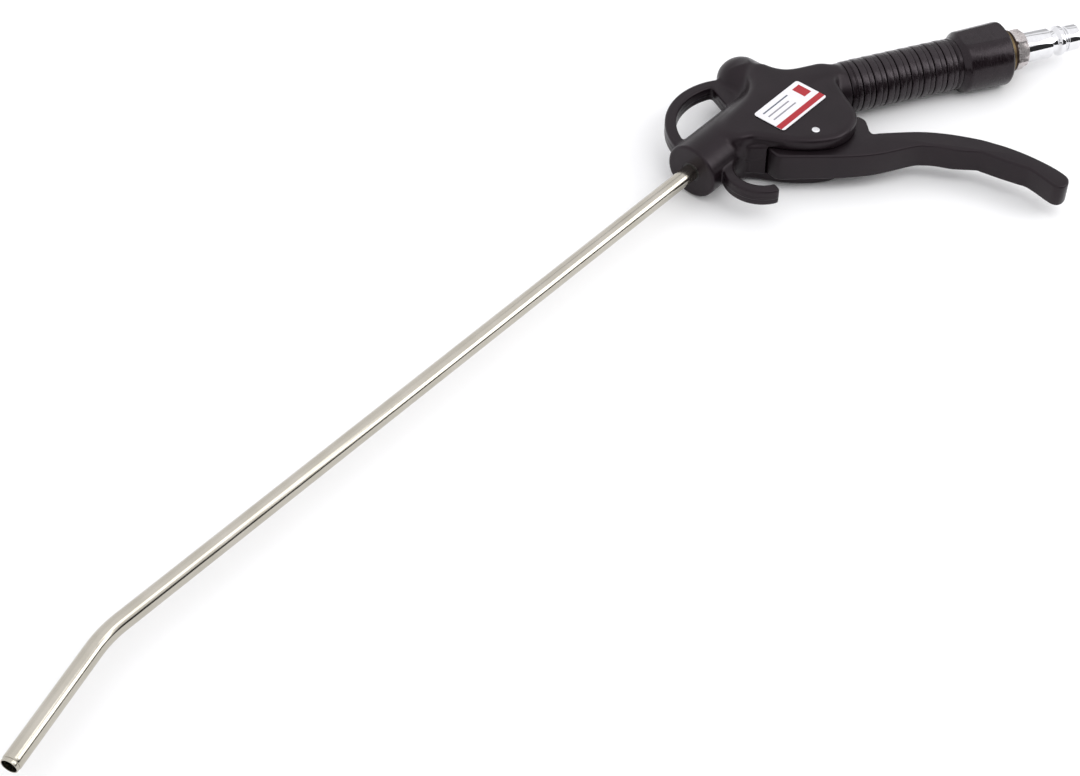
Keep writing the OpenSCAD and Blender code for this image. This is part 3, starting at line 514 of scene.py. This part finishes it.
def bend_tree():
    """Bends a straight pipe, drawn along X from nought, onto a path of two straight runs and an arc."""
    tree, given, result = new_tree("pipe_bend", Start="Vector", Length="Float", Run="Float", Tip_run="Float",
                                   Bend_angle="Float", Bend_radius="Float", Material="Material")
    back = add(tree, "ShaderNodeCombineXYZ", {"X": -1.0}).outputs[0]
    to_bend = add(tree, "ShaderNodeVectorMath", {0: back, "Scale": given["Run"]}, operation="SCALE").outputs[0]
    bend = add(tree, "ShaderNodeVectorMath", {0: given["Start"], 1: to_bend}, operation="ADD").outputs[0]
    cosine = add(tree, "ShaderNodeMath", {0: given["Bend angle"]}, operation="COSINE").outputs[0]
    sine = add(tree, "ShaderNodeMath", {0: given["Bend angle"]}, operation="SINE").outputs[0]
    ahead = add(tree, "ShaderNodeCombineXYZ", {"X": cosine, "Y": sine}).outputs[0]
    reach = add(tree, "ShaderNodeMath", {0: given["Tip run"], 1: -1.0}, operation="MULTIPLY").outputs[0]
    to_tip = add(tree, "ShaderNodeVectorMath", {0: ahead, "Scale": reach}, operation="SCALE").outputs[0]
    tip = add(tree, "ShaderNodeVectorMath", {0: bend, 1: to_tip}, operation="ADD").outputs[0]
    # a line of three points: start, bend and tip
    line = add(tree, "GeometryNodeCurvePrimitiveLine", {"Start": given["Start"], "End": tip}).outputs["Curve"]
    line = add(tree, "GeometryNodeResampleCurve", {"Curve": line, "Count": 3}).outputs["Curve"]
    index = add(tree, "GeometryNodeInputIndex").outputs[0]
    middle = add(tree, "ShaderNodeMath", {0: index, 1: 1.0, 2: 0.5}, operation="COMPARE").outputs[0]
    line = add(tree, "GeometryNodeSetPosition", {"Geometry": line, "Selection": middle,
                                                 "Position": bend}).outputs["Geometry"]
    # the bend in 24 short runs
    path = add(tree, "GeometryNodeFilletCurve", {"Curve": line, "Radius": given["Bend radius"], "Count": 24},
               mode="POLY").outputs["Curve"]
    place = add(tree, "GeometryNodeInputPosition").outputs[0]
    apart = add(tree, "ShaderNodeSeparateXYZ", {"Vector": place}).outputs
    share = add(tree, "ShaderNodeMath", {0: apart["X"], 1: given["Length"]}, operation="DIVIDE").outputs[0]
    spot = add(tree, "GeometryNodeSampleCurve", {"Curves": path, "Factor": share}, mode="FACTOR").outputs
    up = add(tree, "ShaderNodeCombineXYZ", {"Z": 1.0}).outputs[0]
    side = add(tree, "ShaderNodeVectorMath", {0: up, 1: spot["Tangent"]}, operation="CROSS_PRODUCT").outputs[0]
    across = add(tree, "ShaderNodeVectorMath", {0: side, "Scale": apart["Y"]}, operation="SCALE").outputs[0]
    rise = add(tree, "ShaderNodeVectorMath", {0: up, "Scale": apart["Z"]}, operation="SCALE").outputs[0]
    off = add(tree, "ShaderNodeVectorMath", {0: across, 1: rise}, operation="ADD").outputs[0]
    target = add(tree, "ShaderNodeVectorMath", {0: spot["Position"], 1: off}, operation="ADD").outputs[0]
    bent = add(tree, "GeometryNodeSetPosition", {"Geometry": given["Geometry"], "Position": target}).outputs[0]
    plain = add(tree, "GeometryNodeRealizeInstances", {"Geometry": bent}).outputs[0]
    dressed = add(tree, "GeometryNodeSetMaterial", {"Geometry": plain, "Material": given["Material"]}).outputs[0]
    tree.links.new(dressed, result)
    return tree


def rib_tree():
    """Repeats one moulded ring, a rounded bar swept round the grip's axis, along the grip."""
    tree, given, result = new_tree("sleeve_rings", Rings="Int", Pitch="Float", First="Vector", Turn="Vector",
                                   Crest_radius="Float", Ring_width="Float", Ring_height="Float",
                                   Rounding="Float", Material="Material")
    half = add(tree, "ShaderNodeMath", {0: given["Ring height"], 1: 2.0}, operation="DIVIDE").outputs[0]
    radius = add(tree, "ShaderNodeMath", {0: given["Crest radius"], 1: half}, operation="SUBTRACT").outputs[0]
    hoop = add(tree, "GeometryNodeCurvePrimitiveCircle", {"Resolution": 128, "Radius": radius}).outputs["Curve"]
    bar = add(tree, "GeometryNodeCurvePrimitiveQuadrilateral", {"Width": given["Ring height"],
                                                                "Height": given["Ring width"]}).outputs["Curve"]
    bar = add(tree, "GeometryNodeFilletCurve", {"Curve": bar, "Radius": given["Rounding"], "Count": 4,
                                                "Limit Radius": True}, mode="POLY").outputs["Curve"]
    ring = add(tree, "GeometryNodeCurveToMesh", {"Curve": hoop, "Profile Curve": bar}).outputs["Mesh"]
    # the hoop lies in the XY plane, so it is stood up across X and then turned to the grip
    ring = add(tree, "GeometryNodeTransform", {"Geometry": ring,
                                               "Rotation": (0, math.pi / 2, 0)}).outputs["Geometry"]
    step = add(tree, "ShaderNodeCombineXYZ", {"X": given["Pitch"]}).outputs[0]
    spots = add(tree, "GeometryNodeMeshLine", {"Count": given["Rings"], "Start Location": given["First"],
                                               "Offset": step}).outputs["Mesh"]
    row = add(tree, "GeometryNodeInstanceOnPoints", {"Points": spots, "Instance": ring}).outputs["Instances"]
    plain = add(tree, "GeometryNodeRealizeInstances", {"Geometry": row}).outputs[0]
    turned_row = add(tree, "GeometryNodeTransform", {"Geometry": plain, "Rotation": given["Turn"],
                                                     "Translation": (0, 0, MID / 1000)}).outputs["Geometry"]
    dressed = add(tree, "GeometryNodeSetMaterial", {"Geometry": turned_row,
                                                    "Material": given["Material"]}).outputs[0]
    tree.links.new(dressed, result)
    return tree


# ---------------------------------------------------------------- the gun's pieces

CHEEK_LOOP = smooth_loop(CHEEK, 4)
# the web in front of the lever, and the slot between the cheeks that the lever turns in
WEB = np.array([(-34.7, -6), (-34.7, -12.2), (-30.4, -17), (-20, -19), (-20, -6)])[::-1]
SLOT = np.array([(-45, -13), (-34, -13.6), (-20, -15), (-13, -17), (-8.6, -21.5), (5, -21.5), (60, -53), (60, -90),
                 (-45, -90)])


def casting_distance(p):
    """Signed distance to the casting: round barrel, dome and neck run into two flat cheeks, with the soft
    fillets that a mould leaves."""
    h = p[..., 2]
    # on a grid, what is the same at every height is worked out for one layer
    plan = p[:, :, :1] if p.ndim == 4 else p
    x, y = plan[..., 0], plan[..., 1]
    # along the grip and across it
    gx, gy = turned_xy(plan, GRIP_ANGLE)
    barrel = rod(x, np.hypot(y, h), BARREL_END - 0.05, BARREL_BACK, BARREL_R, 0.9)
    dome_y = np.maximum(y - (DOME_TOP - DOME_R), 0)
    dome = np.maximum(np.hypot(np.hypot(x, h), dome_y) - DOME_R, DOME_FOOT - y)
    neck = rod(gx, np.hypot(gy, h), 0, SLEEVE_START, NECK_R, 0.3)
    flat = loop_distance(x, y, CHEEK_LOOP)
    dome_fillet, neck_fillet = 5, 3
    d = join(join(barrel, dome, dome_fillet), neck, neck_fillet)
    # the dome and the neck are flattened a little towards the cheeks
    d = join(d, slab(np.maximum(np.abs(x) - 3.5, np.abs(y - 8) - 11), h, 10.6, 5), 3)
    d = join(d, slab(cut(np.abs(gx - 12) - 13.2, 4 - np.abs(gy), 3), h, MID, 3.6), 2)
    # the cheeks' edge is set in at the top, where they meet the dome and the neck
    inset = 1.3 * np.clip((y + 4) / 10, 0, 1)
    d = join(d, slab(flat + inset, h, MID, 3), 2.5)
    # the blends may not swell past the outline seen from above
    outline = join(np.maximum(np.abs(y) - BARREL_R, x - BARREL_BACK), flat, 3)
    outline = join(outline, np.maximum(np.hypot(x, dome_y) - DOME_R, DOME_FOOT - y), dome_fillet)
    outline = join(outline, np.maximum(np.abs(gy) - NECK_R, -gx), neck_fillet)
    d = cut(d, -outline - 0.1, 0.6)
    # hanging loop: a bow with a straight inner side that leans towards the dome
    ring = np.hypot(x - LOOP_CENTRE[0], y - LOOP_CENTRE[1])
    lean, side_x, side_y, corner = math.radians(23), -18, 11.5, 1.6
    leg = (x - side_x) * math.cos(lean) - (y - side_y) * math.sin(lean)
    hole = cut(cut(ring - LOOP_INSIDE_R, y - side_y, corner), -leg, corner)
    hoop = cut(np.maximum(ring - LOOP_OUTSIDE_R, 4 - y), hole, 0.5)
    d = join(d, slab(hoop, h, 3.1, 0.8), 1.6)
    # hook: an arm on an arc, its blunt tip's corners rounded
    hook_x, hook_y = x - HOOK_CENTRE[0], y - HOOK_CENTRE[1]
    angle = np.degrees(np.arctan2(hook_y, hook_x)) % 360
    past = np.where(angle > 100, np.radians(angle - HOOK_TIP_ANGLE) * HOOK_R, 99)
    corner = 1.1
    u, w = np.abs(np.hypot(hook_x, hook_y) - HOOK_R) - HOOK_HALF + corner, past + corner
    arm = np.minimum(np.maximum(u, w), 0) + np.hypot(np.maximum(u, 0), np.maximum(w, 0)) - corner
    d = join(d, slab(arm, h, 3.3, 0.8), 1.2)
    d = join(d, slab(loop_distance(x, y, WEB), h, 6.5, 0.7), 1.4)
    d = cut(d, MID - np.abs(h), 1)
    # the lever's slot, the valve's bore, the pin's hole and the mouth round the tube
    slot = np.maximum(loop_distance(x, y, SLOT), np.minimum(np.hypot(x - PIN[0], y - PIN[1]) - 18.37, PIN[0] - x))
    d = cut(d, np.maximum(slot, np.abs(h) - 6.2), 0.5)
    d = cut(d, np.maximum(np.hypot(x, h) - 6.12, y + 15), 0.2)
    d = cut(d, np.hypot(x - PIN[0], y - PIN[1]) - 1.56, 0.2)
    return cut(d, np.maximum(np.hypot(y, h) - 3.55, x - BARREL_END - 3), 0.3)


def make_casting(mat):
    """The casting's outside in one shell, and the tube inside the grip that carries the sleeve."""
    points, faces = surface(casting_distance, (-55.3, -38.3, -12.3), (30, 30.8, 12.3), 0.45)
    stands_for(new_piece("body_casting_shell", points, faces, mat, 60), "body_casting")
    # places along the grip and radii: the bore, the slim tube and the wider seat of the inlet bush
    core = eased([(24, 4.5), (24, 7.3), (76.1, 7.3), (76.1, 9.55), (94.45, 9.55), (94.45, 8.1), (80, 8.1),
                  (80, 4.5)], 0.2, 2)
    stands_for(turned("body_grip_core", core, mat), "body_casting")


def make_lever(mat):
    """The lever: a plate that thins towards its tail, its outline smooth and its edges rounded."""
    loop = smooth_loop(LEVER, 6)
    along = np.roll(loop, -1, 0) - np.roll(loop, 1, 0)
    inward = np.stack([-along[:, 1], along[:, 0]], 1) / np.linalg.norm(along, axis=1)[:, None]
    # its edges are rounded over 0.9 mm in five steps
    count, rings, r = len(loop), 5, 0.9
    c, s = math.cos(GRIP_ANGLE), math.sin(GRIP_ANGLE)
    points = []
    turns = [math.radians(90 * k / rings) for k in range(rings + 1)]
    for side, a in [(-1, a) for a in reversed(turns)] + [(1, a) for a in turns]:
        flat = loop + r * (1 - math.cos(a)) * inward
        half = 5.7 - 1.1 * flat[:, 0] / LEVER_SIZE[0]
        points += [(PIN[0] + u * c + v * s, PIN[1] - u * s + v * c, side * (t - r + r * math.sin(a)))
                   for (u, v), t in zip(flat, half)]
    rows = 2 * len(turns)
    faces = rings_of(rows, count, False)
    faces += [tuple(range(count)), tuple(range((rows - 1) * count, rows * count))]
    stands_for(new_piece("lever_arm", points, faces, mat, 60), "lever", "lever")


def make_sleeve(plain, mat, tree):
    """The rubber sleeve: a skin with deep grooves and a thick end with two flats, and on it a wide and a narrow
    ring between each two grooves."""
    skin = [(SLEEVE_START, 7.45), (SLEEVE_START, 9.3), (26.55, 9.85), (27.0, 10.1), (28.2, 10.1), (28.6, 9.8)]
    for k in range(GROOVES):
        g = FIRST_GROOVE + GROOVE_PITCH * k
        skin += [(g - 0.7, 9.85), (g - 0.1, 9.35), (g + 0.1, 9.35), (g + 0.7, 9.85)]
    skin += [(71.9, 9.85), (72.1, 10.1), (73.0, 10.1), (73.2, 9.75), (73.45, 9.75), (73.7, 10.2), (74.3, 10.5)]
    skin += [(75.3, 11.75), (75.9, 12.08), (76.8, 12.12)]
    end_r = 1.5
    skin += [(SLEEVE_END - end_r + end_r * math.sin(a), 11.1 + end_r * math.cos(a))
             for a in np.linspace(0, math.pi / 2, 7)]
    skin += [(SLEEVE_END, 9.62), (75.9, 9.62), (75.9, 7.38), (30, 7.38)]
    stands_for(turned("grip_sleeve_skin", skin, plain, 160, flat_top=MID), "grip_sleeve")
    for name, rings, first, width, crest, rounding in (
            ("grip_sleeve_wide_rings", 8, 32.46, 2.7, 10.2, 0.42),
            ("grip_sleeve_narrow_rings", 9, 29.81, 1.94, 10.1, 0.36)):
        row = new_piece(name, [(0, 0, 0)], [])
        grow(row, tree, Rings=rings, Pitch=GROOVE_PITCH / 1000, First=(first / 1000, 0, 0), Turn=(0, 0, -GRIP_ANGLE),
             Crest_radius=crest / 1000, Ring_width=width / 1000, Ring_height=1.1 / 1000,
             Rounding=rounding / 1000, Material=mat)
        stands_for(row, "grip_sleeve")


def make_nozzle(mat, tree):
    """The tube: drawn straight and hollow, with a thin lip at its open end, then bent near the tip."""
    start = BARREL_END + TUBE_IN_SOCKET
    corner = BEND_R * math.tan(BEND_ANGLE / 2)
    length = TUBE_IN_SOCKET + TUBE_RUN + BEND_R * BEND_ANGLE + TIP_RUN
    # places back from the open end: a groove, the lip in front of it, and the bore opened for 5 mm
    rims = [(length - back, r) for back, r in (
        (1.5, TUBE_R), (1.42, 3.12), (1.3, 2.8), (0.95, 2.8), (0.85, 2.98), (0.2, 2.98), (0.05, 2.94), (0, 2.86),
        (0, 2.7), (0.06, 2.62), (0.3, 2.6), (5.0, 2.6), (5.1, BORE_R))]
    # rows of points 1 mm apart, close enough for the bend
    steps = list(np.linspace(0, length - 2.5, 340))[1:]
    profile = [(0, BORE_R), (0, TUBE_R)] + [(g, TUBE_R) for g in steps] + rims
    profile += [(g, BORE_R) for g in reversed(steps) if g < length - 5.5]
    sides = 40
    points = [(g, r * math.cos(2 * math.pi * k / sides), r * math.sin(2 * math.pi * k / sides) - MID)
              for g, r in profile for k in range(sides)]
    tube = new_piece("nozzle_pipe", points, rings_of(len(profile), sides, True))
    grow(tube, tree, Start=(start / 1000, 0, MID / 1000), Length=length / 1000,
         Run=(TUBE_IN_SOCKET + TUBE_RUN + corner) / 1000, Tip_run=(TIP_RUN + corner) / 1000,
         Bend_angle=BEND_ANGLE, Bend_radius=BEND_R / 1000, Material=mat)
    stands_for(tube, "nozzle_tube")


def make_plug(chrome, nickel):
    """The air plug: a hexagon with chamfered corners, and a shank with its groove, ridge and nose. Each profile
    is a list of places along the grip's axis and radii."""
    shank = eased([(103.2, 3.2), (103.2, 5.98), (114.5, 5.98), (115.0, 4.5), (117.2, 4.5), (118.3, 5.98),
                   (120.0, 5.98), (121.0, 4.35), (121.7, 4.35), (121.95, 5.2), (126.7, 5.2), (127.1, 4.75),
                   (127.1, 3.5), (126.7, 3.2)], 0.4, 4)
    stands_for(turned("air_plug_shank", shank, chrome), "air_plug")
    nut = [(98.1, 3.25), (98.1, 6.7), (98.2, 7.0), (99.05, 8.3), (102.45, 8.3), (103.3, 7.0), (103.4, 6.7),
           (103.4, 3.25)]
    stands_for(turned("air_plug_hexagon", nut, nickel, hexagon=7.0), "air_plug")


def make_pin(mat):
    """The lever pin, its ends lightly domed and flush with the cheeks."""
    sides, top = 48, MID - 0.05
    # heights and radii, from the middle of the end to the straight side
    rows = [(top, 0.15), (top - 0.01, 0.8), (top - 0.06, 1.25), (top - 0.22, 1.48), (top - 0.5, 1.5)]
    rows += [(-h, r) for h, r in reversed(rows)]
    points = [(PIN[0] + r * math.cos(2 * math.pi * k / sides), PIN[1] + r * math.sin(2 * math.pi * k / sides), h)
              for h, r in rows for k in range(sides)]
    faces = rings_of(len(rows), sides, False)
    faces += [tuple(range(sides)), tuple(range((len(rows) - 1) * sides, len(rows) * sides))]
    stands_for(new_piece("lever_pin", points, faces, mat), "pivot_pin")


def make_label(mat):
    """The film with rounded corners, its edge rounded down onto the cheek."""
    points = []
    rims = ((0.3, MID - 0.02), (0, MID - 0.02), (0, MID + 0.17), (0.08, MID + 0.23), (0.3, MID + 0.25))
    for inset, h in rims:
        r = LABEL_CORNER_R - inset
        for sx, sy, turn in ((1, 1, 0), (-1, 1, 90), (-1, -1, 180), (1, -1, 270)):
            x, y = LABEL_CENTRE[0] + sx * LABEL_CORNER[0], LABEL_CENTRE[1] + sy * LABEL_CORNER[1]
            angles = [math.radians(turn + 15 * k) for k in range(7)]
            points += [(x + r * math.cos(a), y + r * math.sin(a), h) for a in angles]
    count = len(points) // len(rims)
    faces = rings_of(len(rims), count, False)
    faces += [tuple(range(count)), tuple(range(len(points) - count, len(points)))]
    stands_for(new_piece("label_film", points, faces, mat), "label_plate")


def make_spring(mat):
    """The valve spring, copied from the part's mesh; in the gun it shortens towards the dome's top as the poppet
    pushes it.
    """
    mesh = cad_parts["valve_spring"].data.copy()
    mesh.materials.clear()
    mesh.materials.append(mat)
    spring = bpy.data.objects.new("valve_spring_coil", mesh)
    bpy.context.scene.collection.objects.link(spring)
    stands_for(spring, "valve_spring")
    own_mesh(spring)


# ---------------------------------------------------------------- light and floor

# strength of the tent's wall and of its top
WALL_LIGHT, TOP_LIGHT = 1.1, 1.22
# name, place and size in metres, and power in watts
SOFT_BOXES = (("right_softbox", (0.35, -0.6, 0.45), (0.45, 0.45), 1.6),
              ("upper_softbox", (0.0, -0.42, 0.75), (0.36, 0.4), 0.7))


def make_floor():
    """A white sheet, 8 m across so that no edge shows, lying 0.05 mm under the gun."""
    mat, tree, shader = new_material("matt_white_studio_sheet", Specular_IOR_Level=0.1)
    place = add(tree, "ShaderNodeTexCoord").outputs["Object"]
    wave = add(tree, "ShaderNodeTexNoise", {"Vector": place, "Scale": 3.0, "Detail": 2}).outputs["Fac"]
    tone = add(tree, "ShaderNodeMix", {0: wave, 6: colour("FCFCFC"), 7: colour("FEFEFE")},
               data_type="RGBA").outputs[2]
    gloss = add(tree, "ShaderNodeMapRange", {"Value": wave, "To Min": 0.85, "To Max": 0.95}).outputs["Result"]
    relief = add(tree, "ShaderNodeBump", {"Height": wave, "Distance": 0.0001}).outputs["Normal"]
    show(tree, shader, tone, gloss, relief)
    mesh = bpy.data.meshes.new("studio_floor")
    side, low = 4, -0.00005
    mesh.from_pydata([(-side, -side, low), (side, -side, low), (side, side, low), (-side, side, low)], [],
                     [(0, 1, 2, 3)])
    mesh.materials.append(mat)
    floor = bpy.data.objects.new("studio_floor", mesh)
    bpy.context.scene.collection.objects.link(floor)


def make_lights():
    """An even white tent with a dark gap low on the right, a soft box above that gap and another overhead. Heights
    and bearings are angles in degrees, the bearings from the X axis."""
    world = bpy.data.worlds.new("studio")
    world.use_nodes = True
    bpy.context.scene.world = world
    tree = world.node_tree
    way = add(tree, "ShaderNodeTexCoord").outputs["Generated"]
    apart = add(tree, "ShaderNodeSeparateXYZ", {"Vector": way}).outputs
    lift = add(tree, "ShaderNodeMath", {0: apart["Z"]}, operation="ARCSINE").outputs[0]
    bearing = add(tree, "ShaderNodeMath", {0: apart["Y"], 1: apart["X"]}, operation="ARCTAN2").outputs[0]
    tent = add(tree, "ShaderNodeMapRange", {"Value": lift, "From Min": math.radians(44), "From Max": math.radians(60),
                                            "To Min": WALL_LIGHT, "To Max": TOP_LIGHT}).outputs["Result"]
    # the gap is 12 degrees high on the right and 36 behind the grip
    top = add(tree, "ShaderNodeMapRange", {"Value": bearing, "From Min": math.radians(-56),
                                           "From Max": math.radians(-88), "To Min": math.radians(12),
                                           "To Max": math.radians(36)}).outputs["Result"]
    under = add(tree, "ShaderNodeMath", {0: top, 1: lift}, operation="SUBTRACT").outputs[0]
    dark = add(tree, "ShaderNodeMapRange", {"Value": under, "From Min": math.radians(-3), "From Max": math.radians(3)},
               interpolation_type="SMOOTHSTEP").outputs["Result"]
    for start, end in ((-22, -40), (-150, -125)):
        edge = add(tree, "ShaderNodeMapRange", {"Value": bearing, "From Min": math.radians(start),
                                                "From Max": math.radians(end)},
                   interpolation_type="SMOOTHSTEP").outputs["Result"]
        dark = add(tree, "ShaderNodeMath", {0: dark, 1: edge}, operation="MULTIPLY").outputs[0]
    # the gap keeps 3% of the tent's light
    light = add(tree, "ShaderNodeMapRange", {"Value": dark, "To Min": 1.0, "To Max": 0.03}).outputs["Result"]
    light = add(tree, "ShaderNodeMath", {0: light, 1: tent}, operation="MULTIPLY").outputs[0]
    # behind the plug the wall is dimmer up to 30 degrees, with a dark seam of the tent above it
    for low, high, share in ((-30, 30, 0.55), (44, 48, 0.25)):
        patch = 1.0
        for value, start, end in ((lift, low - 2, low + 2), (lift, high + 2, high - 2), (bearing, 0, 10),
                                  (bearing, 44, 38)):
            edge = add(tree, "ShaderNodeMapRange", {"Value": value, "From Min": math.radians(start),
                                                    "From Max": math.radians(end)}).outputs["Result"]
            patch = add(tree, "ShaderNodeMath", {0: edge, 1: patch}, operation="MULTIPLY").outputs[0]
        fade = add(tree, "ShaderNodeMapRange", {"Value": patch, "To Min": 1.0, "To Max": share}).outputs["Result"]
        light = add(tree, "ShaderNodeMath", {0: light, 1: fade}, operation="MULTIPLY").outputs[0]
    tree.links.new(light, tree.nodes["Background"].inputs["Strength"])
    tree.nodes["Background"].inputs["Color"].default_value = colour("FDFDFF")
    for name, spot, size, power in SOFT_BOXES:
        data = bpy.data.lights.new(name, "AREA")
        data.shape = "RECTANGLE"
        data.size, data.size_y = size
        data.energy = power
        lamp = bpy.data.objects.new(name, data)
        lamp.location = spot
        lamp.rotation_mode = "QUATERNION"
        lamp.rotation_quaternion = (-lamp.location).to_track_quat("-Z", "Y")
        bpy.context.scene.collection.objects.link(lamp)
    bpy.context.scene.view_settings.view_transform = "Standard"
    bpy.context.scene.view_settings.look = "None"


# ---------------------------------------------------------------- the whole gun

def main():
    make_camera()
    make_floor()
    make_lights()
    chrome = turned_metal("polished_chrome_plate", "DCDCDE", "E6E6E8", 0.05, 0.001)
    brass = turned_metal("machined_brass", "A98444", "C29C58", 0.3, 0.004)
    steel = turned_metal("ground_steel", "E4E4E6", "F0F0F2", 0.3, 0.004)
    seal = small_moulding("black_nitrile_seal", "151515", "1E1E1E", 0.5)
    make_casting(satin_powder_coat("satin_powder_coat", "130D10", "191216", True))
    make_lever(satin_powder_coat("satin_powder_coat_lever", "151013", "1A1417", False))
    make_sleeve(moulded_rubber("moulded_nitrile_rubber", 0.02, 0.3),
                moulded_rubber("moulded_rubber_rings", 0.13, 0.41), rib_tree())
    make_nozzle(drawn_stainless(), bend_tree())
    make_pin(steel)
    make_spring(steel)
    make_label(printed_film())
    make_plug(chrome, tumbled_nickel())
    # these pieces are drawn as the part has them
    finishes = {"nozzle_socket": small_moulding("matt_acetal_socket", "1A181A", "201E20", 0.5),
                "stem_washer": small_moulding("white_nylon_washer", "DDDBD2", "E8E6DE", 0.5),
                "nozzle_oring": seal, "cage_oring_upper": seal, "cage_oring_lower": seal, "poppet_seal": seal,
                "stem_oring": seal, "valve_cage": brass, "valve_poppet": brass, "gland_nut": brass,
                # the inlet bush's brass is darkened far below bare brass: painted shade of the narrow gap between the
                # sleeve and the plug where it sits
                "inlet_bush": turned_metal("tarnished_brass", "5C4F3A", "726248", 0.35, 0.004),
                "plug_washer": turned_metal("dark_copper_washer", "2A211D", "3A2E28", 0.4, 0.004),
                "valve_stem": steel}
    for name, mat in finishes.items():
        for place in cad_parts[name].material_slots:
            place.material = mat


main()
